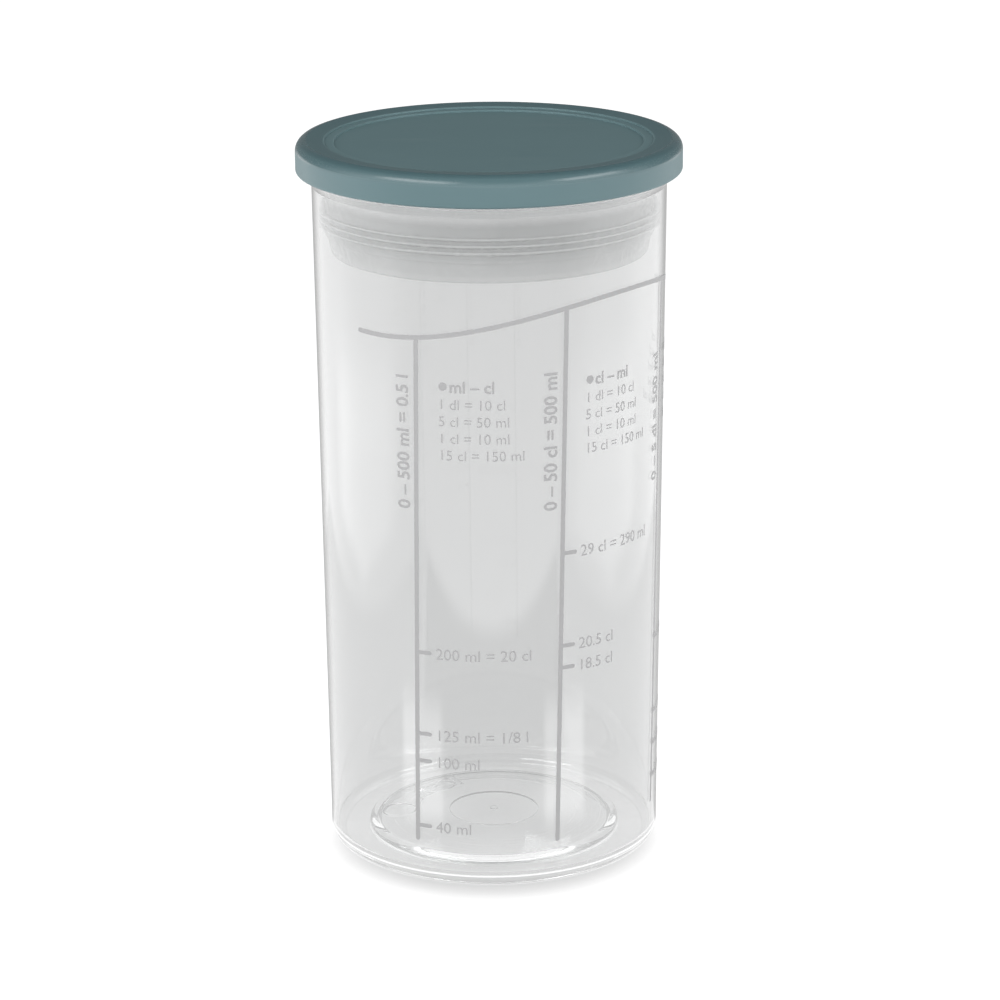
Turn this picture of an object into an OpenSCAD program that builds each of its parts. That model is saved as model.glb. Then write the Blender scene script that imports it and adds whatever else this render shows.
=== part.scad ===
// Shaker bottle for salad dressing: a clear drafted beaker with a flared collar and a raised
// floor, and a lid made of a coloured snap cap over a translucent stopper with sealing lamellae.
// Every piece is turned about Z. The beaker stands on the plane Z = 0. All sizes are millimetres.

/* [Beaker] */
// Height of the beaker from its foot to its rim
beaker_h = 155.3; // [120:0.1:220]
// Outside diameter of the wall, carried down to the plane of the foot
foot_d = 73.2; // [62:0.1:76.5]
// Outside diameter of the wall where the collar starts
neck_d = 76.5; // [73.2:0.1:90]
// Thickness of the wall
wall = 1.3; // [1:0.05:2]
// Radius of the outer corner under the wall
corner_r = 3; // [2:0.1:5]
// Radius of the inner corner between wall and floor
inner_corner_r = 2.3; // [1:0.1:4]

/* [Collar] */
// Height of the collar, from its start on the wall up to the rim
collar_h = 6; // [5:0.1:12]
// How far the collar steps out from the wall
collar_flare = 1.4; // [0.8:0.1:2]
// Slope of the collar's cone, in degrees from the axis
collar_angle = 36; // [25:1:50]
// Radius of the rounded rim
rim_r = 0.4; // [0.2:0.05:0.5]

/* [Floor] */
// Thickness of the floor
floor_t = 2; // [1.5:0.1:3]
// Width of the low ring between the wall and the raised middle of the floor
ring_w = 7.3; // [6:0.05:12]
// How far the raised middle stands above the ring round it
plateau_h = 2.1; // [1:0.1:4]
// Radius of the edge of the raised middle
plateau_edge_r = 1.5; // [0.5:0.1:2]
// Further rise of the floor from that edge to the axis
floor_crown = 1.1; // [0:0.1:2]
// Diameter of the shallow gate recess under the floor
gate_d = 20; // [10:0.1:28]
// Diameter of the gate's nub in that recess
gate_nub_d = 1.7; // [1:0.1:3]
// Depth of the gate recess, and height of its nub
gate_depth = 0.3; // [0.1:0.05:0.6]
// Diameters of the two plain mould insert marks under the floor
mark_d = [9.2, 7.7];
// Directions of the two marks, in degrees from +X
mark_angle = [131, 178];
// Distance from the edge of a mark to the side of the recess under the floor
mark_margin = 0.8; // [0.3:0.1:3]
// Depth of the marks
mark_depth = 0.3; // [0.1:0.05:0.5]

/* [Stopper] */
// Length of the stopper's straight part below the root of the lowest lamella
stopper_tail = 1.5; // [0.5:0.1:6]
// Height of the stopper's drawn-in lower part
stopper_taper_h = 4.6; // [3:0.1:10]
// Gap between the stopper's straight part and the beaker's bore, in which the lamellae stand
stopper_gap = 1.3; // [1:0.05:2]
// Step in from the straight part to the lower part
stopper_step = 0.4; // [0.2:0.05:1]
// How far the lower part draws in towards its bottom
stopper_draw = 0.8; // [0.5:0.1:3]
// Thickness of the stopper's wall and bottom
stopper_t = 1.1; // [0.8:0.1:2]
// Radius of the stopper's bottom edge
stopper_edge_r = 0.8; // [0.4:0.1:1.2]
// Thickness of the flange that rests on the rim
flange_t = 1.1; // [0.8:0.1:2]

/* [Lamellae] */
// Number of sealing lamellae
lamella_n = 3; // [1:1:5]
// Depth of the top lamella's tip below the start of the collar
lamella_depth = 4.7; // [2:0.1:12]
// Distance from one lamella to the next
lamella_pitch = 1.5; // [1.3:0.1:2]
// Thickness of a lamella at its root
lamella_root_t = 0.75; // [0.6:0.05:1]
// Thickness of a lamella at its tip
lamella_tip_t = 0.35; // [0.2:0.05:0.5]
// How far the tip stands above the root
lamella_lift = 0.45; // [0:0.05:0.8]
// Clearance between the lamella tips and the beaker's bore
lamella_clearance = 0.05; // [0.02:0.01:0.15]

/* [Cap] */
// Height of the cap's side, from its lower edge to its crest
cap_h = 6.8; // [6:0.1:9]
// Thickness of the cap's skirt
skirt_t = 1.2; // [1.1:0.05:2]
// Thickness of the cap's sunken panel
panel_t = 1.3; // [1:0.1:2.5]
// Radius of the cap's shoulder
shoulder_r = 2.4; // [1.5:0.1:3]
// Radius of the skirt's lower edge
skirt_edge_r = 0.5; // [0.2:0.05:0.55]
// Width of the rim round the top, from the cap's side to the outer step
rim_w = 6.3; // [4:0.1:10]
// Width of the ledge between the outer step and the sunken panel
ledge_w = 2.1; // [1:0.1:5]
// Fall of the rim's top towards the outer step
rim_fall = 0.3; // [0:0.05:0.6]
// Depth of the outer step
step_h = 0.35; // [0.2:0.05:1]
// Depth of the panel below the ledge between the steps
panel_h = 0.4; // [0.2:0.05:1]
// Radius of both steps' edges
step_edge_r = 0.18; // [0.05:0.01:0.2]

/* [Snap fit of the cap on the stopper] */
// How far the snap bead reaches in under the flange
bead_reach = 0.4; // [0.2:0.05:0.45]
// Height of the snap bead
bead_h = 1.2; // [0.8:0.1:2]
// Clearance between the snap bead and the beaker's rim
rim_clearance = 0.35; // [0.1:0.05:0.6]
// Clearance of the flange in the skirt, and of the bead under the flange
snap_clearance = 0.05; // [0.02:0.01:0.1]

/* [Hidden] */
// Facets of the full turn, which the exact surfaces don't depend on
$fn = 180;
// Steps in a quarter turn of a rounded edge
arc_steps = 6;
// Steps along the floor's crown
crown_steps = 5;
// Overlap of a cut beyond the surface that it opens
cut = 0.5;

// Beaker
foot_r = foot_d / 2;
neck_r = neck_d / 2;
neck_z = beaker_h - collar_h;
draft = (neck_r - foot_r) / neck_z;
collar_r = neck_r + collar_flare;
cone_h = collar_flare / tan(collar_angle);
// A cone of the same thickness as the wall starts a little higher on the inner side
inner_cone_z = neck_z + wall * tan(collar_angle / 2);
mouth_r = collar_r - wall;
plateau_r = bore_r(0) - ring_w;
plateau_z = floor_t + plateau_h;
edge_r = min(plateau_edge_r, plateau_h);
crown_r = plateau_r - edge_r;
recess_r = plateau_r - floor_t;
recess_z = plateau_z - floor_t;
recess_edge_r = edge_r / 2;

// Stopper
low_tip_z = neck_z - lamella_depth - (lamella_n - 1) * lamella_pitch;
stopper_z = low_tip_z - lamella_lift - lamella_root_t / 2 - stopper_tail;
stopper_bottom_z = stopper_z - stopper_taper_h;
stopper_r = bore_r(stopper_z) - stopper_gap;
shank_r = stopper_r - stopper_step;
stopper_bottom_r = shank_r - stopper_draw;
flange_z = beaker_h + flange_t;

// Cap
skirt_r = collar_r + rim_clearance + bead_reach;
cap_r = skirt_r + skirt_t;
flange_r = skirt_r - snap_clearance;
panel_z = flange_z + panel_t;
ledge_z = panel_z + panel_h;
rim_z = ledge_z + step_h;
crest_z = rim_z + rim_fall;
cap_z = crest_z - cap_h;
bead_z = beaker_h - snap_clearance;
step_r = cap_r - rim_w;
panel_r = step_r - ledge_w;

// Outer radius of the beaker's wall at height z
function wall_r(z) = foot_r + draft * z;

// Radius of the beaker's bore at height z
function bore_r(z) = wall_r(z) - wall;

// Points of an arc round [x, z], from angle a to angle b
function arc(x, z, r, a, b) =
    [for (i = [0 : arc_steps]) let (t = a + (b - a) * i / arc_steps) [x + r * cos(t), z + r * sin(t)]];

// Rise of the floor's crown at radius x: a parabola with its top on the axis
function crown_rise(x) = floor_crown * (1 - pow(x / crown_r, 2));

// Points of the crown over the height z, from radius a to radius b
function crown(z, a, b) =
    [for (i = [0 : crown_steps]) let (x = a + (b - a) * i / crown_steps) [x, z + crown_rise(x)]];

// Outline of one lamella, from its lower root over its tip to its upper root
function lamella(i) =
    let (tip_z = neck_z - lamella_depth - i * lamella_pitch,
         root_z = tip_z - lamella_lift,
         tip_r = bore_r(tip_z - lamella_tip_t / 2) - lamella_clearance)
    [[stopper_r, root_z - lamella_root_t / 2], [tip_r, tip_z - lamella_tip_t / 2],
     [tip_r, tip_z + lamella_tip_t / 2], [stopper_r, root_z + lamella_root_t / 2]];

// Underside of the floor, from the axis to the standing ring
function underside() = concat(
    crown(recess_z, 0, recess_r - recess_edge_r),
    arc(recess_r - recess_edge_r, recess_z + crown_rise(recess_r - recess_edge_r) - recess_edge_r,
        recess_edge_r, 90, 0),
    [[recess_r, 0]]);

// Outer side of the beaker, from the standing ring to the rim
function outer_side() = concat(
    arc(wall_r(corner_r) - corner_r, corner_r, corner_r, -90, 0),
    [[neck_r, neck_z], [collar_r, neck_z + cone_h]],
    arc(collar_r - rim_r, beaker_h - rim_r, rim_r, 0, 90));

// Inner side of the beaker, from the rim down and over the floor to the axis
function inner_side() = concat(
    arc(mouth_r + rim_r, beaker_h - rim_r, rim_r, 90, 180),
    [[mouth_r, inner_cone_z + cone_h], [bore_r(inner_cone_z), inner_cone_z]],
    arc(bore_r(floor_t + inner_corner_r) - inner_corner_r, floor_t + inner_corner_r, inner_corner_r, 0, -90),
    [[plateau_r, floor_t]],
    arc(crown_r, plateau_z - edge_r, edge_r, 0, 90),
    crown(plateau_z, crown_r, 0));

// Clear beaker: drafted wall, flared collar, raised floor over a recess, and a standing ring
module beaker() {
    color([0.86, 0.89, 0.9, 0.4])
    difference() {
        rotate_extrude() polygon(concat(underside(), outer_side(), inner_side()));
        gate_recess();
        for (i = [0 : len(mark_d) - 1]) mould_mark(mark_d[i], mark_angle[i]);
    }
}

// Shallow round recess on the axis, with the nub that the gate leaves in it
module gate_recess() {
    gate_z = recess_z + floor_crown + gate_depth;
    difference() {
        translate([0, 0, gate_z / 2]) cylinder(h = gate_z / 2, d = gate_d);
        translate([0, 0, gate_z - gate_depth]) cylinder(h = gate_depth + cut, d = gate_nub_d);
    }
}

// Plain round mark that a mould insert leaves under the floor
module mould_mark(d, angle) {
    place_r = recess_r - mark_margin - d / 2;
    top_z = recess_z + crown_rise(place_r) + mark_depth;
    rotate([0, 0, angle])
    translate([place_r, 0, top_z / 2]) cylinder(h = top_z / 2, d = d);
}

// Translucent stopper: a closed cup with lamellae round it, hung from the rim by its flange
module stopper() {
    color([0.93, 0.94, 0.93, 0.85])
    rotate_extrude() polygon(concat(
        [[0, stopper_bottom_z]],
        arc(stopper_bottom_r - stopper_edge_r, stopper_bottom_z + stopper_edge_r, stopper_edge_r, -90, 0),
        [[shank_r, stopper_z], [stopper_r, stopper_z]],
        [for (i = [lamella_n - 1 : -1 : 0], p = lamella(i)) p],
        [[stopper_r, beaker_h], [flange_r, beaker_h], [flange_r, flange_z]],
        [[stopper_r - stopper_t, flange_z], [stopper_r - stopper_t, stopper_z + stopper_t]],
        [[shank_r - stopper_t, stopper_z]],
        arc(stopper_bottom_r - stopper_t - stopper_edge_r, stopper_bottom_z + stopper_t + stopper_edge_r,
            stopper_edge_r, 0, -90),
        [[0, stopper_bottom_z + stopper_t]]));
}

// Coloured cap: sunken panel inside two fine steps, round shoulder, and a skirt with a snap bead
module cap() {
    color([0.4, 0.49, 0.51])
    rotate_extrude() polygon(concat(
        [[0, flange_z], [skirt_r, flange_z], [skirt_r, bead_z]],
        [[skirt_r - bead_reach, bead_z - bead_reach], [skirt_r - bead_reach, bead_z - bead_h / 2]],
        [[skirt_r, bead_z - bead_h]],
        arc(skirt_r + skirt_edge_r, cap_z + skirt_edge_r, skirt_edge_r, 180, 270),
        arc(cap_r - skirt_edge_r, cap_z + skirt_edge_r, skirt_edge_r, -90, 0),
        arc(cap_r - shoulder_r, crest_z - shoulder_r, shoulder_r, 0, 90),
        arc(step_r + step_edge_r, rim_z - step_edge_r, step_edge_r, 90, 180),
        [[step_r, ledge_z]],
        arc(panel_r + step_edge_r, ledge_z - step_edge_r, step_edge_r, 90, 180),
        [[panel_r, panel_z], [0, panel_z]]));
}

beaker();
stopper();
cap();
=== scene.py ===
"""Shaker bottle for salad dressing: a clear drafted beaker with a grey printed scale, closed by a
satin blue-green cap that is snapped over a milky stopper with sealing lamellae."""
import math

import bmesh
import bpy
import numpy as np
from mathutils import Matrix, Vector


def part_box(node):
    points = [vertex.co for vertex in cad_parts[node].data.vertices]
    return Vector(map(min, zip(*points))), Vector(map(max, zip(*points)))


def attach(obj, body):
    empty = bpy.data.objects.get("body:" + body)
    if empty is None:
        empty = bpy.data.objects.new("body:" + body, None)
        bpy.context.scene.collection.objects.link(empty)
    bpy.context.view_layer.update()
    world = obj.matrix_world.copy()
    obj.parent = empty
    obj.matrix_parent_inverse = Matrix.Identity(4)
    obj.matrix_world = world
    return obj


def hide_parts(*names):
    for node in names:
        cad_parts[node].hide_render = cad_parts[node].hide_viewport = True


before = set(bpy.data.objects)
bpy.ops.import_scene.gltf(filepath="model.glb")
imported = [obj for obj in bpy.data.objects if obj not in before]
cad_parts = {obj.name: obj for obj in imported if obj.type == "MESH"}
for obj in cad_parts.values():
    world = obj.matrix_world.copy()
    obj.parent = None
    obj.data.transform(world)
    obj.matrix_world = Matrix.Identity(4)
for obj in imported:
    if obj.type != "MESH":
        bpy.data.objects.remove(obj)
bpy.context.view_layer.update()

# Sizes are in millimetres, and MM is one millimetre in Blender's metres
MM = 0.001


def extent(node):
    """Largest radius, lowest height and greatest height of a turned node, in millimetres."""
    low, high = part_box(node)
    return round(high.x / MM, 2), round(low.z / MM, 2), round(high.z / MM, 2)


# Beaker
collar_r, _, beaker_h = extent("beaker")
COLLAR_FLARE = 1.4
COLLAR_H = 6
COLLAR_ANGLE = math.radians(36)
FOOT_R = 36.6
WALL = 1.3
CORNER_R = 3
INNER_CORNER_R = 2.3
RIM_R = 0.4
FLOOR_T = 2
RING_W = 7.3
PLATEAU_H = 2.1
PLATEAU_EDGE_R = 1.5
FLOOR_CROWN = 1.1
GATE_R = 10
GATE_NUB_R = 0.85
GATE_DEPTH = 0.3
GATE_EDGE = 0.05
FINE_R = 0.35
MARKS = ((131, 9.2), (178, 7.7))
MARK_MARGIN = 0.8
MARK_DEPTH = 0.3
MARK_SLOPE = 0.25

# Stopper
flange_r, stopper_bottom_z, flange_z = extent("stopper")
STOPPER_GAP = 1.3
STOPPER_STEP = 0.4
STOPPER_DRAW = 0.8
STOPPER_TAPER_H = 4.6
STOPPER_T = 1.1
STOPPER_EDGE_R = 0.8
LAMELLA_N = 3
LAMELLA_DEPTH = 4.7
LAMELLA_PITCH = 1.5
LAMELLA_ROOT_T = 0.75
LAMELLA_TIP_T = 0.35
LAMELLA_LIFT = 0.45
LAMELLA_CLEARANCE = 0.05

# Cap
cap_r, cap_z, crest_z = extent("cap")
SKIRT_T = 1.2
SHOULDER_R = 2.4
SKIRT_EDGE_R = 0.5
RIM_W = 6.3
LEDGE_W = 2.1
RIM_FALL = 0.3
STEP_H = 0.35
PANEL_H = 0.4
STEP_EDGE_R = 0.18
BEAD_REACH = 0.4
BEAD_H = 1.2
SNAP_CLEARANCE = 0.05

# Sizes that follow from them
neck_r = collar_r - COLLAR_FLARE
neck_z = beaker_h - COLLAR_H
draft = (neck_r - FOOT_R) / neck_z
cone_h = COLLAR_FLARE / math.tan(COLLAR_ANGLE)
inner_cone_z = neck_z + WALL * math.tan(COLLAR_ANGLE / 2)
mouth_r = collar_r - WALL
plateau_r = FOOT_R - WALL - RING_W
plateau_z = FLOOR_T + PLATEAU_H
crown_r = plateau_r - PLATEAU_EDGE_R
recess_r = plateau_r - FLOOR_T
recess_z = plateau_z - FLOOR_T
recess_edge_r = PLATEAU_EDGE_R / 2
skirt_r = cap_r - SKIRT_T
step_r = cap_r - RIM_W
panel_r = step_r - LEDGE_W
rim_z = crest_z - RIM_FALL
ledge_z = rim_z - STEP_H
panel_z = ledge_z - PANEL_H
bead_z = beaker_h - SNAP_CLEARANCE

# Fineness of the meshes
TURNS = 288
ARC_STEPS = 12
LONGEST = 5
SUPPORT = 0.12
SHARP_ANGLE = math.radians(28)
MARK_OUTSIDE_RINGS = 5
MARK_RINGS = 7
ON_CROWN = 0.001


def wall_r(z):
    """Outer radius of the beaker's wall at height z."""
    return FOOT_R + draft * z


def bore_r(z):
    """Radius of the beaker's bore at height z."""
    return wall_r(z) - WALL


def crown_rise(r):
    """Rise of the floor's crown at radius r: a parabola with its top on the axis."""
    return FLOOR_CROWN * (1 - (r / crown_r) ** 2)


def crown(z, start_r, end_r):
    """Points of the crown over the height z, from one radius to another."""
    r = np.linspace(start_r, end_r, 2 * ARC_STEPS + 1)
    return np.column_stack([r, z + crown_rise(r)])


def arc(r, z, radius, start, end):
    """Points of an arc round (r, z): its angle runs evenly from start to end, in degrees from +r to +z."""
    turn = np.radians(np.linspace(start, end, ARC_STEPS + 1))
    return np.column_stack([r + radius * np.cos(turn), z + radius * np.sin(turn)])


def filleted(before, corner, after, radius):
    """Points of the arc that rounds the corner between two straight lines: it touches both of them at the
    distance radius / tan(half the angle between them) from the corner."""
    before, corner, after = (np.array(point, float) for point in (before, corner, after))
    back = (before - corner) / np.linalg.norm(before - corner)
    ahead = (after - corner) / np.linalg.norm(after - corner)
    half = math.acos(np.clip(back @ ahead, -1, 1)) / 2
    middle = (back + ahead) / np.linalg.norm(back + ahead)
    centre = corner + middle * radius / math.sin(half)
    start = corner + back * radius / math.tan(half) - centre
    end = corner + ahead * radius / math.tan(half) - centre
    share = np.linspace(0, 1, ARC_STEPS // 2 + 1)[:, None]
    spoke = start * (1 - share) + end * share
    return centre + radius * spoke / np.linalg.norm(spoke, axis=1)[:, None]


def supported(outline):
    """The outline with points added on its long straight stretches: one close to each end, which keeps the
    shading of the flat from leaning into the next curve, and others at most LONGEST apart."""
    points = [outline[0]]
    for start, end in zip(outline[:-1], outline[1:]):
        length = np.linalg.norm(end - start)
        if length > 4 * SUPPORT:
            inner = np.linspace(SUPPORT, length - SUPPORT, int(length / LONGEST) + 2)
            points += [start + (end - start) * share for share in inner / length]
        points.append(end)
    return np.array(points)


def mesh_piece(name, vertices, faces, finish, body, slot, node=None):
    """Makes an object of vertices in millimetres and of faces, with the given finish. It rides on a body, and
    stands for a CAD node where one is named. The slot is not used."""
    mesh = bpy.data.meshes.new(name)
    mesh.from_pydata(np.asarray(vertices, float) * MM, [], faces)
    mesh.polygons.foreach_set("use_smooth", np.ones(len(mesh.polygons), bool))
    mesh.set_sharp_from_angle(angle=SHARP_ANGLE)
    mesh.materials.append(finish)
    piece = bpy.data.objects.new(name, mesh)
    bpy.context.scene.collection.objects.link(piece)
    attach(piece, body)
    if node:
        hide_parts(node)


def turned(outline):
    """Vertices and faces of a closed solid of revolution. The outline runs from the axis round the solid and
    back to the axis, and each of its points (r, z) becomes the circle (r cos t, r sin t, z). The two points
    on the axis are one vertex each, with a fan of triangles."""
    outline = supported(outline)
    turn = np.arange(TURNS) * 2 * math.pi / TURNS
    ring_r, ring_z = outline[1:-1, 0], outline[1:-1, 1]
    rings = np.stack([np.outer(ring_r, np.cos(turn)), np.outer(ring_r, np.sin(turn)),
                      np.outer(ring_z, np.ones(TURNS))], axis=2)
    poles = [[0, 0, outline[0, 1]], [0, 0, outline[-1, 1]]]
    vertices = np.concatenate([rings.reshape(-1, 3), poles])
    first = np.arange((len(ring_r) - 1) * TURNS)
    column = first % TURNS
    beside = first - column + (column + 1) % TURNS
    quads = np.column_stack([first, beside, beside + TURNS, first + TURNS])
    column = np.arange(TURNS)
    beside = (column + 1) % TURNS
    last = (len(ring_r) - 1) * TURNS
    pole = np.full(TURNS, len(ring_r) * TURNS)
    fans = np.concatenate([np.column_stack([pole, beside, column]),
                           np.column_stack([pole + 1, last + column, last + beside])])
    return vertices, quads.tolist() + fans.tolist()


# Sockets of the Mix node for colours, and how often a trapped ray is mirrored
COLOUR_A = 6
COLOUR_B = 7
MIXED_COLOUR = 2
MOST_MIRRORINGS = 2.5


class Field:
    """A number, colour or vector that varies over a surface: a node and one of its outputs. Python's
    operators add Math nodes."""

    def __init__(self, finish, node, output=0):
        self.finish = finish
        self.node = node
        self.socket = node.outputs[output]

    def out(self, output):
        """Another output of the same node."""
        return Field(self.finish, self.node, output)

    def math(self, operation, *others):
        """A Math node's result for this number and others."""
        return self.finish.add("ShaderNodeMath", dict(enumerate((self, *others))), operation=operation)

    def __add__(self, other):
        return self.math("ADD", other)

    def __mul__(self, other):
        return self.math("MULTIPLY", other)

    def __sub__(self, other):
        return self.math("SUBTRACT", other)

    def __rsub__(self, other):
        return self.finish.add("ShaderNodeMath", {0: other, 1: self}, operation="SUBTRACT")

    __radd__ = __add__
    __rmul__ = __mul__

    def high(self, other):
        """The greater of two numbers."""
        return self.math("MAXIMUM", other)

    def near(self, middle, reach):
        """1 at the middle, and 0 further than reach from it."""
        return 1 - (self - middle).math("ABSOLUTE").step(0, reach)

    def step(self, start, end):
        """0 below start, 1 above end, and smooth between them."""
        return self.finish.add("ShaderNodeMapRange", {"Value": self, "From Min": start, "From Max": end},
                               interpolation_type="SMOOTHSTEP")


class Finish:
    """A material's nodes, or the world's."""

    def __init__(self, name, owner=None):
        self.owner = owner or bpy.data.materials.new(name)
        self.owner.use_nodes = True
        self.tree = self.owner.node_tree
        self.tree.nodes.clear()

    def add(self, kind, inputs=None, output=0, **settings):
        """Adds one node of any kind: first its settings, then the values or links of its sockets, which are
        named or numbered. Gives one of its outputs."""
        node = self.tree.nodes.new(kind)
        for setting, value in settings.items():
            setattr(node, setting, value)
        for socket, value in (inputs or {}).items():
            if isinstance(value, Field):
                self.tree.links.new(value.socket, node.inputs[socket])
            elif value is not None:
                node.inputs[socket].default_value = value
        return Field(self, node, output) if node.outputs else node

    def place(self):
        """Object coordinates, in metres."""
        return self.add("ShaderNodeTexCoord", output="Object")

    def noise(self, size, detail=2, stretch=(1, 1, 1)):
        """Even noise from 0 to 1 whose features are about size millimetres wide, times stretch along each
        axis."""
        scale = [1 / (size * MM * share) for share in stretch]
        place = self.add("ShaderNodeMapping", {"Vector": self.place(), "Scale": scale})
        return self.add("ShaderNodeTexNoise", {"Vector": place, "Scale": 1, "Detail": detail}, output="Fac")

    def bump(self, height, depth, normal=None):
        """A normal for a height from 0 to 1 that is depth millimetres deep."""
        return self.add("ShaderNodeBump", {"Height": height, "Distance": depth * MM, "Strength": 1,
                                           "Normal": normal})

    def tone(self, share, low, high):
        """A colour between two others, by a share from 0 to 1."""
        colours = {"Factor": share, COLOUR_A: (*low, 1), COLOUR_B: (*high, 1)}
        return self.add("ShaderNodeMix", colours, output=MIXED_COLOUR, data_type="RGBA")

    def ray(self, *kinds):
        """1 for a light path's ray of any of the named kinds, and otherwise 0."""
        light_path = self.add("ShaderNodeLightPath")
        share = light_path.out(kinds[0])
        for kind in kinds[1:]:
            share = share.high(light_path.out(kind))
        return share

    def ran_round(self):
        """1 for a ray that clear plastic has mirrored inside itself almost as often as Cycles follows, and
        otherwise 0."""
        return self.ray("Glossy Depth").math("GREATER_THAN", MOST_MIRRORINGS)

    def radius(self):
        """Distance from the bottle's axis, in millimetres."""
        flat = self.add("ShaderNodeVectorMath", {0: self.place(), 1: (1 / MM, 1 / MM, 0)},
                        operation="MULTIPLY")
        return self.add("ShaderNodeVectorMath", {0: flat}, output="Value", operation="LENGTH")

    def height(self):
        """Height above the table, in millimetres."""
        return self.add("ShaderNodeSeparateXYZ", {0: self.place()}, output="Z") * (1 / MM)

    def distance(self, point):
        """Distance from a point, in metres."""
        return self.add("ShaderNodeVectorMath", {0: self.place(), 1: point}, output="Value",
                        operation="DISTANCE")

    def done(self, surface, volume=None):
        """Ends the nodes in their output, and gives the material or world."""
        kind = "World" if isinstance(self.owner, bpy.types.World) else "Material"
        self.add("ShaderNodeOutput" + kind, {"Surface": surface, "Volume": volume})
        return self.owner


# Finishes. Where colour or polish changes over a piece, it does so over these lengths in millimetres
FLANGE_BLEND = 3
TAPER_BLEND = 1
TIP_SHARE = 0.8
STEP_BLEND = 0.1
# Reach of the painted highlights on the step edges, which also blends the shoulder's polish
EDGE_HIGHLIGHT_AND_POLISH_REACH = 0.3
EDGE_HIGHLIGHT_MIDDLE = 0.15
RIM_BLEND = (0.8, 0.3)
SHOULDER_BLEND = (2.6, 1.8)


def clear_plastic():
    """Polished clear moulding: refracts as styrene plastics do, with hardly seen flow waves and handling
    marks. Lamps shine straight through it."""
    finish = Finish("clear_plastic")
    flow = finish.noise(24, 2, (1, 1, 3))
    scuff = finish.noise(7, 4).step(0.56, 0.82)
    plastic = finish.add("ShaderNodeBsdfPrincipled", {
        "Base Color": finish.tone(flow, (0.95, 0.955, 0.955), (0.968, 0.972, 0.972)),
        "Roughness": 0.008 + scuff * 0.03,
        "IOR": 1.57,
        "Transmission Weight": 1,
        "Normal": finish.bump(flow, 0.02)})
    through = finish.add("ShaderNodeBsdfTransparent", {"Color": (0.96, 0.96, 0.96, 1)})
    direct = finish.ray("Is Shadow Ray", "Is Diffuse Ray").high(finish.ran_round())
    depth = finish.add("ShaderNodeVolumeAbsorption", {"Color": (0.9, 0.9, 0.9, 1), "Density": 60})
    return finish.done(finish.add("ShaderNodeMixShader", {0: direct, 1: plastic, 2: through}), depth)


def milky_plastic():
    """Soft translucent moulding: milky, satin, and a little uneven in the depth of its milk. The thin tips of
    the lamellae carry a painted highlight, whiter than the wall between them, which holds painted shade. The
    drawn-in bottom is whiter too. The top, inside the collar, is painted whitest as painted light against the
    cap's shade, and lets the least light through."""
    finish = Finish("milky_plastic")
    cloud = finish.noise(9, 3)
    grain = finish.noise(1.2, 2)
    wall = bore_r(neck_z) - STOPPER_GAP
    taper_z = stopper_bottom_z + STOPPER_TAPER_H
    # Painted highlight on the thin lamella tips, with painted shade left on the wall between them
    tip = finish.radius().step(wall, wall + STOPPER_GAP * TIP_SHARE)
    low = 1 - finish.height().step(taper_z - TAPER_BLEND, taper_z + TAPER_BLEND)
    # Painted light: the top, in the shade of the cap's skirt, is painted whiter
    high = finish.height().step(neck_z - FLANGE_BLEND, neck_z)
    share = cloud * 0.3 + tip * 0.6 + low * 0.3 + high
    return finish.done(finish.add("ShaderNodeBsdfPrincipled", {
        "Base Color": finish.tone(share, (0.56, 0.57, 0.57), (0.86, 0.87, 0.87)),
        "Roughness": 0.22 + grain * 0.1,
        "IOR": 1.5,
        "Alpha": 0.5 + high * 0.35,
        "Normal": finish.bump(grain, 0.01)}))


def cap_plastic():
    """Satin blue-green moulding with a fine eroded grain, faint flow clouds and a few polished rubs. The rim
    round the top is smoother and painted darker, as painted shade. The ledge and the panel inside it are
    painted paler, as painted light on the top faces. Both step edges carry a painted highlight, and the
    shoulder is polished."""
    finish = Finish("cap_plastic")
    radius = finish.radius()
    height = finish.height()
    on_step = radius.step(step_r - STEP_BLEND, step_r + STEP_BLEND)
    # Painted light: the panel and the ledge are painted paler, for light on the top faces
    on_ledge = radius.step(panel_r - STEP_BLEND, panel_r + STEP_BLEND)
    # Painted shade: the rim round the top is painted darker
    rim = on_step * height.step(crest_z - RIM_BLEND[0], crest_z - RIM_BLEND[1])
    ledge = on_ledge * (1 - on_step)
    # Painted highlight: a pale line along each step edge
    edge = radius.near(step_r + EDGE_HIGHLIGHT_MIDDLE, EDGE_HIGHLIGHT_AND_POLISH_REACH)
    edge = edge.high(radius.near(panel_r + EDGE_HIGHLIGHT_MIDDLE, EDGE_HIGHLIGHT_AND_POLISH_REACH))
    shoulder_r = cap_r - SHOULDER_R
    shoulder = radius.step(shoulder_r - EDGE_HIGHLIGHT_AND_POLISH_REACH, shoulder_r + EDGE_HIGHLIGHT_AND_POLISH_REACH)
    shoulder = shoulder * height.step(crest_z - SHOULDER_BLEND[0], crest_z - SHOULDER_BLEND[1])
    cloud = finish.noise(16, 3)
    grain = finish.noise(0.22, 3)
    rub = finish.noise(11, 4, (2.4, 1, 1)).step(0.55, 0.8)
    # Base tone with painted light on panel and ledge, painted shade on the rim and painted highlights on the
    # step edges
    share = 0.34 + cloud * 0.2 + (1 - on_ledge) * 0.24 - rim * 0.26 + ledge * 0.3 + edge * 0.9
    return finish.done(finish.add("ShaderNodeBsdfPrincipled", {
        "Base Color": finish.tone(share, (0.072, 0.135, 0.15), (0.132, 0.222, 0.238)),
        "Roughness": 0.42 + grain * 0.12 - rub * 0.06 - shoulder * 0.22 - rim * 0.08,
        "IOR": 1.5,
        "Normal": finish.bump(grain, 0.006)}))


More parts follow.
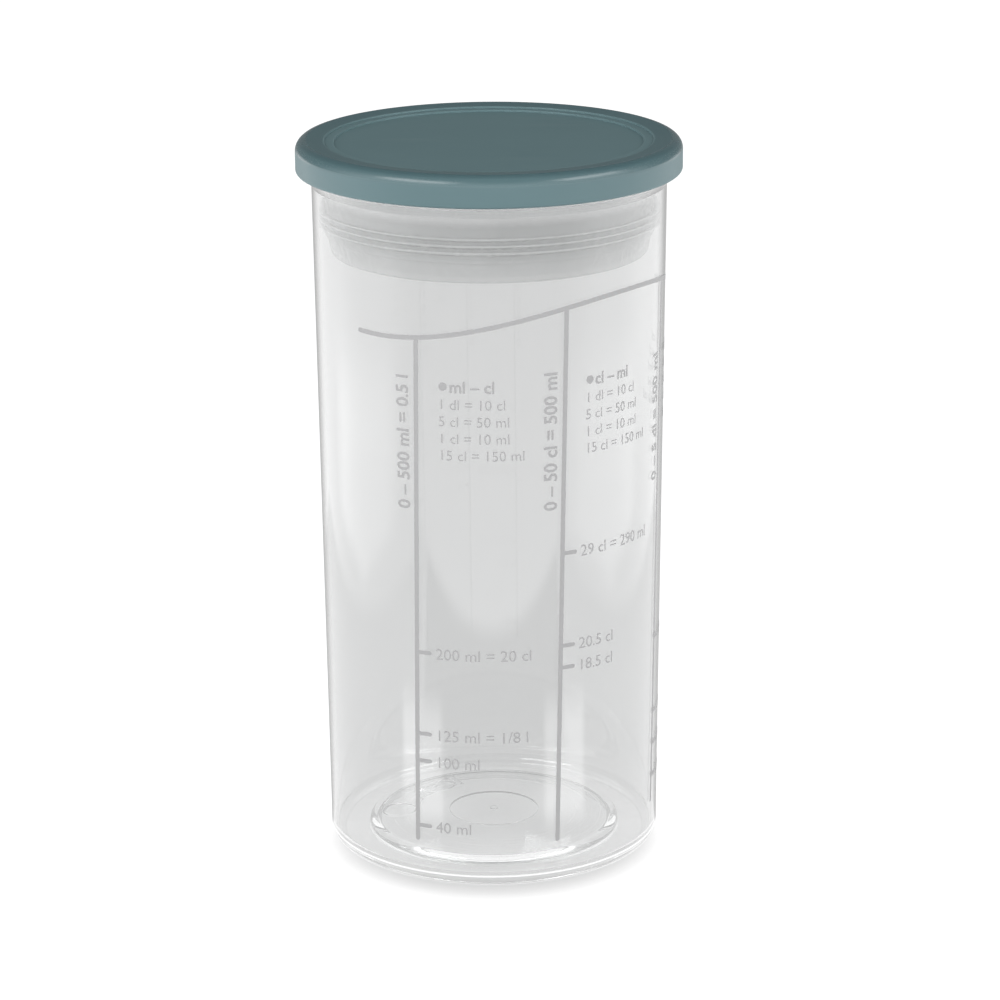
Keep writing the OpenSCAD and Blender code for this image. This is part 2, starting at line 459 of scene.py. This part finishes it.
def print_ink():
    """Grey screen-print ink: matt, with the fine unevenness of the screen."""
    finish = Finish("print_ink")
    screen = finish.noise(0.35, 2)
    return finish.done(finish.add("ShaderNodeBsdfPrincipled", {
        "Base Color": finish.tone(screen, (0.41, 0.41, 0.415), (0.46, 0.46, 0.465)),
        "Roughness": 0.55 + screen * 0.1,
        "Normal": finish.bump(screen, 0.003)}))


CLEAR = clear_plastic()
MILKY = milky_plastic()
COLOURED = cap_plastic()
INK = print_ink()


def beaker_outline():
    """Round the beaker from the axis under the floor to the standing ring, up the drafted wall and the
    collar's cone to the rim, down the bore, and over the raised floor back to the axis."""
    gate_z = recess_z + FLOOR_CROWN + GATE_DEPTH
    gate = np.concatenate([
        [[0, gate_z - GATE_DEPTH], [GATE_NUB_R, gate_z - GATE_DEPTH], [GATE_NUB_R, gate_z]],
        [[GATE_R - GATE_EDGE, gate_z], [GATE_R, gate_z - GATE_EDGE]]])
    under = crown(recess_z, GATE_R, recess_r - recess_edge_r)
    fillet_z = under[-1, 1] - recess_edge_r
    cone_top = (collar_r, neck_z + cone_h)
    inner_corner_z = FLOOR_T + INNER_CORNER_R
    return np.concatenate([
        gate, under,
        arc(recess_r - recess_edge_r, fillet_z, recess_edge_r, 90, 0)[1:],
        filleted((recess_r, fillet_z), (recess_r, 0), (recess_r + CORNER_R, 0), FINE_R),
        arc(wall_r(CORNER_R) - CORNER_R, CORNER_R, CORNER_R, -90, 0),
        filleted((wall_r(CORNER_R), CORNER_R), (neck_r, neck_z), cone_top, FINE_R),
        filleted((neck_r, neck_z), cone_top, (collar_r, beaker_h), FINE_R),
        arc(collar_r - RIM_R, beaker_h - RIM_R, RIM_R, 0, 90),
        arc(mouth_r + RIM_R, beaker_h - RIM_R, RIM_R, 90, 180),
        [[mouth_r, inner_cone_z + cone_h], [bore_r(inner_cone_z), inner_cone_z]],
        arc(bore_r(inner_corner_z) - INNER_CORNER_R, inner_corner_z, INNER_CORNER_R, 0, -90),
        filleted((plateau_r + RING_W / 2, FLOOR_T), (plateau_r, FLOOR_T), (plateau_r, plateau_z), FINE_R),
        arc(crown_r, plateau_z - PLATEAU_EDGE_R, PLATEAU_EDGE_R, 0, 90),
        crown(plateau_z, crown_r, 0)[1:]])


def stopper_outline():
    """Round the stopper from the axis under its bottom, up its drawn-in part, over each lamella and the
    flange, and back down inside the cup."""
    low_tip_z = neck_z - LAMELLA_DEPTH - (LAMELLA_N - 1) * LAMELLA_PITCH
    straight_z = stopper_bottom_z + STOPPER_TAPER_H
    straight_r = bore_r(straight_z) - STOPPER_GAP
    shank_r = straight_r - STOPPER_STEP
    bottom_r = shank_r - STOPPER_DRAW
    inner_r = straight_r - STOPPER_T
    lamellae = []
    for i in range(LAMELLA_N):
        tip_z = low_tip_z + i * LAMELLA_PITCH
        root_z = tip_z - LAMELLA_LIFT
        tip_r = bore_r(tip_z - LAMELLA_TIP_T / 2) - LAMELLA_CLEARANCE
        tip = [[straight_r, root_z - LAMELLA_ROOT_T / 2], [tip_r, tip_z - LAMELLA_TIP_T / 2],
               [tip_r, tip_z + LAMELLA_TIP_T / 2], [straight_r, root_z + LAMELLA_ROOT_T / 2]]
        lamellae.append(tip[:1])
        lamellae.append(filleted(tip[0], tip[1], tip[2], LAMELLA_TIP_T / 3))
        lamellae.append(filleted(tip[1], tip[2], tip[3], LAMELLA_TIP_T / 3))
        lamellae.append(tip[3:])
    return np.concatenate([
        [[0, stopper_bottom_z]],
        arc(bottom_r - STOPPER_EDGE_R, stopper_bottom_z + STOPPER_EDGE_R, STOPPER_EDGE_R, -90, 0),
        [[shank_r, straight_z], [straight_r, straight_z]],
        *lamellae,
        [[straight_r, beaker_h], [flange_r, beaker_h], [flange_r, flange_z], [inner_r, flange_z]],
        [[inner_r, straight_z + STOPPER_T], [shank_r - STOPPER_T, straight_z]],
        arc(bottom_r - STOPPER_T - STOPPER_EDGE_R, stopper_bottom_z + STOPPER_T + STOPPER_EDGE_R,
            STOPPER_EDGE_R, 0, -90),
        [[0, stopper_bottom_z + STOPPER_T]]])


def cap_outline():
    """Round the cap from the axis under its plate, down inside the skirt over the snap bead, round the lower
    edge, up the side and the shoulder, and in over the rim and both steps to the panel."""
    return np.concatenate([
        [[0, flange_z], [skirt_r, flange_z], [skirt_r, bead_z]],
        [[skirt_r - BEAD_REACH, bead_z - BEAD_REACH], [skirt_r - BEAD_REACH, bead_z - BEAD_H / 2]],
        [[skirt_r, bead_z - BEAD_H]],
        arc(skirt_r + SKIRT_EDGE_R, cap_z + SKIRT_EDGE_R, SKIRT_EDGE_R, 180, 270),
        arc(cap_r - SKIRT_EDGE_R, cap_z + SKIRT_EDGE_R, SKIRT_EDGE_R, -90, 0),
        arc(cap_r - SHOULDER_R, crest_z - SHOULDER_R, SHOULDER_R, 0, 90),
        arc(step_r + STEP_EDGE_R, rim_z - STEP_EDGE_R, STEP_EDGE_R, 90, 180),
        filleted((step_r, rim_z), (step_r, ledge_z), (panel_r, ledge_z), STEP_EDGE_R / 2),
        arc(panel_r + STEP_EDGE_R, ledge_z - STEP_EDGE_R, STEP_EDGE_R, 90, 180),
        filleted((panel_r, ledge_z), (panel_r, panel_z), (0, panel_z), STEP_EDGE_R / 2),
        [[0, panel_z]]])


def marked(vertices, faces, azimuth, diameter):
    """The turned beaker with the round mark of a mould insert sunk into the underside of its raised floor. A
    window opens in the polar grid there, and rings fill it: first (1 - s) times the window's edge plus s
    times the mark's circle, then circles down to the middle. Each point's height is the crown's plus the
    mark's depth times a smooth step over the distance from its circle."""
    radius = diameter / 2
    middle_r = recess_r - MARK_MARGIN - radius
    turn = math.radians(azimuth)
    middle = middle_r * np.array([math.cos(turn), math.sin(turn)])
    ring_r, ring_z = np.hypot(vertices[:-2, 0], vertices[:-2, 1])[::TURNS], vertices[:-2:TURNS, 2]
    on_crown = np.abs(ring_z - recess_z - crown_rise(ring_r)) < ON_CROWN
    rows = np.flatnonzero(on_crown & (ring_r > middle_r - radius - MARK_MARGIN) & (ring_r < recess_r))
    half = int(math.degrees((radius + MARK_MARGIN) / middle_r) / 360 * TURNS) + 2
    columns = round(azimuth / 360 * TURNS) + np.arange(-half, half + 1)
    edge = np.concatenate([rows[0] * TURNS + columns[:-1], rows[:-1] * TURNS + columns[-1],
                           rows[-1] * TURNS + columns[:0:-1], rows[:0:-1] * TURNS + columns[0]])
    start = vertices[edge, :2]
    spoke = (start - middle) / np.linalg.norm(start - middle, axis=1)[:, None]
    outside_share = np.linspace(0, 1, MARK_OUTSIDE_RINGS)[1:]
    outside = [start * (1 - s) + (middle + spoke * radius) * s for s in outside_share]
    slope_r = radius - np.linspace(0, MARK_SLOPE, MARK_RINGS)[1:]
    inner_r = slope_r[-1] * np.linspace(1, 0, MARK_RINGS)[1:-1]
    rings = outside + [middle + spoke * r for r in (*slope_r, *inner_r)] + [middle[None]]
    plane = np.concatenate(rings)
    share = np.clip((radius - np.linalg.norm(plane - middle, axis=1)) / MARK_SLOPE, 0, 1)
    rise = crown_rise(np.linalg.norm(plane, axis=1)) + MARK_DEPTH * share ** 2 * (3 - 2 * share)
    index = np.arange((len(rings) - 1) * len(edge)).reshape(-1, len(edge)) + len(vertices)
    index = np.concatenate([edge[None], index])
    beside = np.roll(index, -1, axis=1)
    quads = np.stack([index[:-1], beside[:-1], beside[1:], index[1:]], axis=2).reshape(-1, 4)
    hub = np.full(len(edge), len(vertices) + len(plane) - 1)
    fan = np.column_stack([index[-1], beside[-1], hub])
    gone = set((rows[:-1, None] * TURNS + columns[:-1]).ravel().tolist())
    faces = [face for i, face in enumerate(faces) if i not in gone] + quads.tolist() + fan.tolist()
    return np.concatenate([vertices, np.column_stack([plane, recess_z + rise])]), faces


def tidied(vertices, faces):
    """The same faces without the vertices that none of them uses."""
    used = np.zeros(len(vertices), bool)
    used[np.concatenate(faces)] = True
    number = np.cumsum(used) - 1
    return vertices[used], [number[face].tolist() for face in faces]


beaker_mesh = turned(beaker_outline())
for mark in MARKS[::-1]:
    beaker_mesh = marked(*beaker_mesh, *mark)
mesh_piece("beaker_shell", *tidied(*beaker_mesh), CLEAR, "bottle", "clear_plastic", "beaker")
mesh_piece("stopper_shell", *turned(stopper_outline()), MILKY, "lid", "milky_plastic", "stopper")
mesh_piece("cap_shell", *turned(cap_outline()), COLOURED, "lid", "cap_plastic", "cap")

# Printed scale. An azimuth is in degrees from -Y towards +X, and a text's height is that of its capitals
INK_LIFT = 0.01
INK_T = 0.02
LEAN = 0.0233
WAVE_Z = 126.9
WAVE_H = 4.06
WAVE_PHASE = 6
WAVE_FROM = -47
WAVE_TO = 98
WAVE_W = 1
LINE_W = 1
LINE_FOOT_Z = 10.1
LINE_AZIMUTH = (-25.6, 23.2, 73.2)
TICK_REACH = 5.3
TICK_W = 0.9
LABEL_START = 6.6
LABEL_H = 2.45
TITLE_START = -2.9
TITLE_Z = 85.6
TITLE_H = 2.8
BLOCK_START = 7.4
BULLET_H = 1.65
BULLET_RISE = 0.34
UNIT_START = 3.7
BLOCK_Z = 112
BLOCK_PITCH = 3.7
BLOCK_H = 2.15
BOLD = 0.022
CAPITAL = 0.682
LETTER_STRIP = 0.7
LETTER_JOIN = 0.0001
LETTER_CURVE_STEPS = 3
WAVE_POINTS = 120
LINE_POINTS = 200
TICK_POINTS = 20
ROUND_END_POINTS = 7
ROUND_END_START = 0.05
STROKE_STEP = 1.5
FILL_RINGS = 400
FILL_LEVELS = 600
MM3_IN_ML = 1000
SCALES = (
    ("0 \u2013 500 ml = 0.5 l", "ml \u2013 cl",
     {200: "200 ml = 20 cl", 125: "125 ml = 1/8 l", 100: "100 ml", 40: "40 ml"}),
    ("0 \u2013 50 cl = 500 ml", "cl \u2013 ml",
     {290: "29 cl = 290 ml", 205: "20.5 cl", 185: "18.5 cl"}),
    ("0 \u2013 5 dl = 500 ml", "dl \u2013 ml",
     {180: "1.8 dl", 110: "1.1 dl", 80: "0.8 dl", 50: "0.5 dl"}))
EQUALS = ("1 dl = 10 cl", "5 cl = 50 ml", "1 cl = 10 ml", "15 cl = 150 ml")


def on_wall(azimuth, z, lift):
    """The point at an azimuth and height on the beaker's wall, lifted off it: (R sin a, -R cos a, z), where R
    is the wall's radius plus the lift. Works on whole arrays."""
    radius = wall_r(z) + lift
    turn = np.radians(azimuth)
    return np.stack([radius * np.sin(turn), -radius * np.cos(turn), z + 0 * turn], axis=-1)


def stroke(azimuth, z, width):
    """Vertices and faces of one printed stroke with half-round ends along a path of azimuths and heights. Its
    section is a flat box, INK_T thick. Its half width is w, and sqrt(w^2 - (w - s)^2) at a distance s under w
    from either end."""
    around = np.radians(azimuth) * FOOT_R
    along = np.concatenate([[0], np.cumsum(np.hypot(np.diff(around), np.diff(z)))])
    half = width / 2
    round_end = half * (1 - np.cos(np.linspace(ROUND_END_START, math.pi / 2, ROUND_END_POINTS)))
    middle = np.linspace(half, along[-1] - half, max(3, int(along[-1] / STROKE_STEP)))
    station = np.concatenate([round_end, middle[1:-1], along[-1] - round_end[::-1]])
    reach = np.minimum(np.minimum(station, along[-1] - station), half)
    share = np.sqrt(half ** 2 - (half - reach) ** 2)
    centre = np.column_stack([np.interp(station, along, around), np.interp(station, along, z)])
    ahead = np.gradient(centre, axis=0)
    ahead /= np.linalg.norm(ahead, axis=1)[:, None]
    side = np.column_stack([ahead[:, 1], -ahead[:, 0]]) * share[:, None]
    corners = []
    top = INK_LIFT + INK_T
    for sign, lift in ((-1, INK_LIFT), (1, INK_LIFT), (1, top), (-1, top)):
        edge = centre + sign * side
        corners.append(on_wall(np.degrees(edge[:, 0] / FOOT_R), edge[:, 1], lift))
    vertices = np.stack(corners, axis=1).reshape(-1, 3)
    first = np.arange(len(station) - 1)[:, None] * 4 + np.arange(4)
    beside = np.arange(len(station) - 1)[:, None] * 4 + (np.arange(4) + 1) % 4
    quads = np.stack([first, first + 4, beside + 4, beside], axis=2).reshape(-1, 4)
    last = len(vertices) - 4
    ends = [[0, 1, 2, 3], [last + 3, last + 2, last + 1, last]]
    return vertices, quads.tolist() + ends


def joined(parts):
    """Vertices and faces of several closed parts as one."""
    vertices, faces, count = [], [], 0
    for part_vertices, part_faces in parts:
        vertices.append(part_vertices)
        faces += [[corner + count for corner in face] for face in part_faces]
        count += len(part_vertices)
    return np.concatenate(vertices), faces


def wave_z(azimuth):
    """Height of the wave that tops the scale: a sine with two periods in a full turn."""
    return WAVE_Z + WAVE_H * np.sin(np.radians(2 * (azimuth - WAVE_PHASE)))


def line_azimuth(line, z):
    """Azimuth of an upright line, which leans a little, at height z."""
    return LINE_AZIMUTH[line] + LEAN * (z - wave_z(0) / 2)


def fill_z(millilitres):
    """Height up to which the beaker holds a volume. The volume under a level is the sum, over rings of radius
    r, of 2 pi r times the depth of the floor under it, widened as the bore widens halfway up. The level is
    looked up in it."""
    r = np.linspace(0, bore_r(0), FILL_RINGS)
    edge = np.sqrt(np.clip(PLATEAU_EDGE_R ** 2 - (r - crown_r) ** 2, 0, None))
    floor_z = np.where(r < crown_r, plateau_z + crown_rise(r), plateau_z - PLATEAU_EDGE_R + edge)
    floor_z = np.where(r < plateau_r, floor_z, FLOOR_T)
    level = np.linspace(0, neck_z, FILL_LEVELS)
    depth = np.clip(level[:, None] - floor_z, 0, None)
    widening = (bore_r(level / 2) / bore_r(0)) ** 2
    volume = (2 * math.pi * r * depth).sum(axis=1) * (r[1] - r[0]) * widening / MM3_IN_ML
    return float(np.interp(millilitres, volume, level))


def lettering(text, azimuth, z, height, weight=0, upward=False):
    """Vertices and faces of a text printed on the wall, which starts at an azimuth and height. A point (x, y)
    of the letters lies x to the right and y above that start, measured on the wall, or where the text reads
    upwards x above and y to the left of it. Height is a capital's, and weight thickens the strokes by that
    share of the type size. The letters are cut into strips at most LETTER_STRIP wide, which bend with the
    wall."""
    curve = bpy.data.curves.new("lettering", "FONT")
    curve.body = text
    curve.offset = weight
    curve.extrude = 0.5
    curve.resolution_u = LETTER_CURVE_STEPS
    holder = bpy.data.objects.new("lettering", curve)
    letters = bmesh.new()
    letters.from_mesh(bpy.data.meshes.new_from_object(holder))
    bpy.data.objects.remove(holder)
    bmesh.ops.remove_doubles(letters, verts=letters.verts, dist=LETTER_JOIN)
    bmesh.ops.scale(letters, vec=(height / CAPITAL, height / CAPITAL, 1), verts=letters.verts)
    around = Vector((0, 1, 0)) if upward else Vector((1, 0, 0))
    reach = [vertex.co.dot(around) for vertex in letters.verts]
    for cut in np.arange(min(reach) + LETTER_STRIP, max(reach), LETTER_STRIP):
        bmesh.ops.bisect_plane(letters, geom=letters.verts[:] + letters.edges[:] + letters.faces[:],
                               plane_co=around * cut, plane_no=around)
    letters.verts.index_update()
    points = np.array([vertex.co for vertex in letters.verts])
    faces = [[vertex.index for vertex in face.verts] for face in letters.faces]
    letters.free()
    right, above = (-points[:, 1], points[:, 0]) if upward else (points[:, 0], points[:, 1])
    turn = azimuth + np.degrees(right / wall_r(z + above))
    return on_wall(turn, z + above, INK_LIFT + INK_T * (points[:, 2] + 0.5)), faces


wave_azimuth = np.linspace(WAVE_FROM, WAVE_TO, WAVE_POINTS)
ink_strokes = [stroke(wave_azimuth, wave_z(wave_azimuth), WAVE_W)]
ink_letters = []
for line, (title, unit, ticks) in enumerate(SCALES):
    heights = np.linspace(LINE_FOOT_Z, WAVE_Z + WAVE_H, LINE_POINTS)
    heights = heights[heights < wave_z(line_azimuth(line, heights))]
    ink_strokes.append(stroke(line_azimuth(line, heights), heights, LINE_W))
    for millilitres, label in ticks.items():
        z = fill_z(millilitres)
        start = line_azimuth(line, z)
        tick_azimuth = np.linspace(start, start + TICK_REACH, TICK_POINTS)
        ink_strokes.append(stroke(tick_azimuth, np.full(TICK_POINTS, z), TICK_W))
        ink_letters.append(lettering(label, start + LABEL_START, z - LABEL_H / 2, LABEL_H))
    start = line_azimuth(line, BLOCK_Z)
    ink_letters.append(lettering(title, start + TITLE_START, TITLE_Z, TITLE_H, BOLD, upward=True))
    ink_letters.append(lettering("\u25cf", start + BLOCK_START, BLOCK_Z + BULLET_RISE, BULLET_H))
    ink_letters.append(lettering(unit, start + BLOCK_START + UNIT_START, BLOCK_Z, LABEL_H, BOLD))
    for row, equal in enumerate(EQUALS, 1):
        ink_letters.append(lettering(equal, start + BLOCK_START, BLOCK_Z - row * BLOCK_PITCH, BLOCK_H))
mesh_piece("printed_lines", *joined(ink_strokes), INK, "bottle", "print_ink")
mesh_piece("printed_letters", *joined(ink_letters), INK, "bottle", "print_ink")

# Studio. The world's levels of light, and the ranges of a direction's Y or Z over which they change
HORIZON_LIGHT = 1.25
CEILING_LOSS = 0.95
CEILING_Z = (-0.1, 0.6)
FRONT_Y = (-0.2, 0.5)
FRONT_LIGHT = 1.1
FRONT_Z = (0.35, 0.8)
BACK_LOSS = 0.8
BEHIND_LIGHT = 0.4
BEHIND_RISE = 0.24
BEHIND_Y = (0.3, 0.8)
OVERHEAD_LIGHT = 0.8
OVERHEAD_Z = (0.42, 0.6)
TRAPPED_LIGHT = 0.5
TRAPPED_RISE = 0.7
TRAPPED_Y = (0.45, 0.65)


def studio_world():
    """White to the camera. Seen through the clear plastic it is pale grey, paler far behind the bottle and
    white overhead. As light and in gloss it is a room that is bright at the horizon and darkens towards the
    ceiling. Gloss mirrors little of it behind the bottle, and more, low down, on the camera's side. A ray
    that has run round inside the plastic ends in grey, or in white behind the bottle."""
    finish = Finish("studio", bpy.data.worlds.new("studio"))
    shown = finish.ray("Is Camera Ray")
    through = finish.ray("Is Transmission Ray")
    mirrored = finish.ray("Is Glossy Ray") * (1 - through)
    place = finish.add("ShaderNodeTexCoord", output="Generated")
    way = finish.add("ShaderNodeSeparateXYZ", {0: place})
    room = HORIZON_LIGHT - way.out("Z").step(*CEILING_Z) * CEILING_LOSS
    front = 1 - way.out("Y").step(*FRONT_Y)
    room = room * (1 - mirrored * (1 - front) * BACK_LOSS)
    room = room + mirrored * front * (1 - way.out("Z").step(*FRONT_Z)) * FRONT_LIGHT
    overhead = way.out("Z").step(*OVERHEAD_Z) * OVERHEAD_LIGHT
    behind = BEHIND_LIGHT + way.out("Y").step(*BEHIND_Y) * BEHIND_RISE + overhead
    strength = shown + through * behind + (1 - shown.high(through)) * room
    trapped = finish.ran_round()
    trapped_light = TRAPPED_LIGHT + way.out("Y").step(*TRAPPED_Y) * TRAPPED_RISE
    strength = strength * (1 - trapped) + trapped * trapped_light
    return finish.done(finish.add("ShaderNodeBackground", {"Color": (1, 1, 1, 1), "Strength": strength}))


bpy.context.scene.world = studio_world()

# Paper, in metres. What gloss mirrors of it, with the ranges over which its levels of light change
FLOOR_SIZE = 6
WEDGE_LIGHT = 0.1
WEDGE_SLOPE = 0.78
WEDGE_START = 0.02
WEDGE_EDGE = 0.006
WEDGE_NEAR_Y = (-0.09, -0.07)
TABLE_LIGHT = 1.1
TABLE_HALF = 0.197
TABLE_EDGE = 0.012
STRIPE_LIGHT = 2.2
STRIPE_START = -0.02
STRIPE_INSIDE = (0.65, 0.8)
STRIPE_OUTSIDE = (1.8, 2.3)
STRIPE_NEAR = (0.06, 0.08)
STRIPE_FAR = (0.125, 0.16)
ROOM_LIGHT = 1.8
BESIDE_LIGHT = 0.9
BESIDE_WAY = (0.3, 0.8)
BESIDE_NEAR = (0.2, 0.45)
BESIDE_FAR = (0.68, 0.78)
PATCH_WAY = (0.35, 0.6)
PATCH_ROUNDING = 0.1
PATCH_NEAR = (0.2, 0.24)
PATCH_FAR = (0.36, 0.5)
RIGHT_SIDE = (0, 0.02)
RIGHT_PATCH_TURN = 0.2
RIGHT_BACK_TURN = 0.03
BACK_LIGHT = 0.25
BACK_WAY = (0.76, 0.98)
FAR_RIGHT_LIGHT = 0.15
FAR_RIGHT_WAY = (0.975, 0.99)
FOOT_REACH = 0.07
FOOT_LOSS = 0.5
TINY = 0.001

# Paper to the camera and through the clear plastic
SHOWN_LIGHT = 0.9
# Painted shadow round the foot, seen by the camera
PAINTED_SHADOW_MIDDLE = (0, -0.006, 0)
PAINTED_SHADOW_EDGE = (0.0285, 0.0425)
PAINTED_SHADOW_LOSS = 0.48
THROUGH_LIGHT = 0.4
# Painted light under the raised floor, seen through the clear plastic
UNDER_EDGE = (0.03, 0.037)
UNDER_RISE = 0.12
# Painted shade under the front of the raised floor, seen through the clear plastic
SHADE_MIDDLE = (0, -0.012, 0)
SHADE_EDGE = (0.01, 0.028)
SHADE_LOSS = 0.12
SPREAD_LIGHT = 0.5
TRAPPED_PAPER_LIGHT = 0.2
TRAPPED_PAPER_RISE = 0.2


def mirrored_paper(finish):
    """The paper's light in gloss, as of a table top in a bright room. On the table a dark wedge opens towards
    the camera's side, and a pale stripe lies along each of its edges near the bottle. Past the table's edge
    the room is bright, brightest in a patch on each side of the bottle, and it darkens behind it. A way is
    the Y of the direction in which a point lies from the bottle's nearer side."""
    place = finish.add("ShaderNodeSeparateXYZ", {0: finish.place()})
    aside = place.out("X").math("ABSOLUTE")
    ahead = place.out("Y")
    away = finish.distance((0, 0, 0))
    at_right = place.out("X").step(*RIGHT_SIDE)
    from_wall = finish.add("ShaderNodeCombineXYZ", {"X": (aside - FOOT_R * MM).high(0), "Y": ahead})
    direction = finish.add("ShaderNodeVectorMath", {0: from_wall}, operation="NORMALIZE")
    way = finish.add("ShaderNodeSeparateXYZ", {0: direction}, output="Y")
    off_wedge = (aside + (ahead - WEDGE_START) * WEDGE_SLOPE).step(-WEDGE_EDGE, WEDGE_EDGE)
    light = WEDGE_LIGHT + off_wedge.high(ahead.step(*WEDGE_NEAR_Y)) * TABLE_LIGHT
    slant = aside.math("DIVIDE", (STRIPE_START - ahead).high(TINY))
    stripe = slant.step(*STRIPE_INSIDE) - slant.step(*STRIPE_OUTSIDE)
    stripe = stripe * (away.step(*STRIPE_NEAR) - away.step(*STRIPE_FAR))
    light = light + stripe * STRIPE_LIGHT
    beside = 1 - way.math("ABSOLUTE").step(*BESIDE_WAY)
    beside = beside * (away.step(*BESIDE_NEAR) - away.step(*BESIDE_FAR))
    aslant = (way + at_right * RIGHT_PATCH_TURN).math("ABSOLUTE")
    patch = 1 - aslant.step(*PATCH_WAY)
    patch = patch * ((away - aslant * PATCH_ROUNDING).step(*PATCH_NEAR) - away.step(*PATCH_FAR))
    off_table = aside.high(ahead.math("ABSOLUTE")).step(TABLE_HALF - TABLE_EDGE, TABLE_HALF + TABLE_EDGE)
    light = light * (1 - off_table) + off_table * (ROOM_LIGHT + beside * BESIDE_LIGHT + patch)
    back = (way + at_right * RIGHT_BACK_TURN).step(*BACK_WAY)
    far_right = at_right * way.step(*FAR_RIGHT_WAY)
    light = light * (1 - back) + back * BACK_LIGHT + far_right * FAR_RIGHT_LIGHT
    return light * (1 - away.near(0, FOOT_REACH) * FOOT_LOSS)


def paper():
    """White paper with a soft shadow, and a painted shadow that makes it a little greyer round the foot.
    Through the clear plastic it is grey, with painted light under the raised floor and painted shade under
    its front."""
    finish = Finish("paper")
    through = finish.ray("Is Transmission Ray")
    mirrored = finish.ray("Is Glossy Ray") * (1 - through)
    # Painted shadow: the paper is painted greyer round the foot
    painted_shadow = 1 - finish.distance(PAINTED_SHADOW_MIDDLE).step(*PAINTED_SHADOW_EDGE)
    # Painted light: the paper under the raised floor is painted brighter
    under = 1 - finish.distance((0, 0, 0)).step(*UNDER_EDGE)
    # Painted shade: the paper under the floor's front is painted darker
    shade = 1 - finish.distance(SHADE_MIDDLE).step(*SHADE_EDGE)
    light = finish.ray("Is Camera Ray") * (SHOWN_LIGHT - painted_shadow * PAINTED_SHADOW_LOSS)
    light = light + through * (THROUGH_LIGHT + under * UNDER_RISE - shade * SHADE_LOSS)
    light = light + mirrored * mirrored_paper(finish) + finish.ray("Is Diffuse Ray") * SPREAD_LIGHT
    trapped = finish.ran_round()
    light = light * (1 - trapped) + trapped * (TRAPPED_PAPER_LIGHT + under * TRAPPED_PAPER_RISE)
    grey = finish.tone(finish.noise(40, 2), (0.39, 0.39, 0.39), (0.41, 0.41, 0.41))
    diffuse = finish.add("ShaderNodeBsdfDiffuse", {"Color": grey})
    glow = finish.add("ShaderNodeEmission", {"Strength": light})
    return finish.done(finish.add("ShaderNodeAddShader", {0: diffuse, 1: glow}))


half = FLOOR_SIZE / 2
floor_corners = [(-half, -half, 0), (half, -half, 0), (half, half, 0), (-half, half, 0)]
floor_mesh = bpy.data.meshes.new("floor")
floor_mesh.from_pydata(floor_corners, [], [(0, 1, 2, 3)])
floor_mesh.materials.append(paper())
floor = bpy.data.objects.new("floor", floor_mesh)
bpy.context.scene.collection.objects.link(floor)


def soft_box(name, azimuth, elevation, distance, width, height, power, mirrored=True):
    """Hangs a soft box that faces the middle of the bottle. The azimuth is in degrees from -Y towards +X,
    and lengths are in metres. A box that isn't mirrored only lights, and shows in no gloss."""
    lamp = bpy.data.lights.new(name, "AREA")
    lamp.shape = "RECTANGLE"
    lamp.size = width
    lamp.size_y = height
    lamp.energy = power
    turn = math.radians(azimuth)
    rise = math.radians(elevation)
    away = Vector((math.sin(turn) * math.cos(rise), -math.cos(turn) * math.cos(rise), math.sin(rise)))
    holder = bpy.data.objects.new(name, lamp)
    holder.location = Vector((0, 0, beaker_h * MM / 2)) + away * distance
    holder.rotation_euler = away.to_track_quat("Z", "Y").to_euler()
    holder.visible_glossy = mirrored
    holder.visible_transmission = mirrored
    bpy.context.scene.collection.objects.link(holder)


soft_box("left_box", azimuth=-47, elevation=38, distance=0.9, width=0.6, height=0.3, power=3.2)
soft_box("right_box", azimuth=66, elevation=38, distance=0.9, width=0.56, height=0.3, power=2.4)
soft_box("front_box", azimuth=0, elevation=8, distance=1.6, width=1.2, height=0.5, power=1.2, mirrored=False)

# Camera, fitted to the outline of the cap, the wall and the foot
CAMERA_BACK = 0.7735
CAMERA_UP = 0.3145
CAMERA_LENS = 131.9
SENSOR_W = 36
PITCH = math.radians(17.053)
YAW = math.radians(0.137)
ROLL = math.radians(-0.4)

camera = bpy.data.objects.new("camera", bpy.data.cameras.new("camera"))
camera.data.sensor_width = SENSOR_W
camera.data.lens = CAMERA_LENS
forward = Vector((math.sin(YAW) * math.cos(PITCH), math.cos(YAW) * math.cos(PITCH), -math.sin(PITCH)))
level = Vector((math.cos(YAW), -math.sin(YAW), 0))
upright = level.cross(forward)
right = math.cos(ROLL) * level + math.sin(ROLL) * upright
up = math.cos(ROLL) * upright - math.sin(ROLL) * level
stand = Matrix.Translation((0, -CAMERA_BACK, CAMERA_UP))
camera.matrix_world = stand @ Matrix((right, up, -forward)).transposed().to_4x4()
bpy.context.scene.collection.objects.link(camera)
bpy.context.scene.camera = camera
bpy.context.scene.view_settings.view_transform = "Standard"
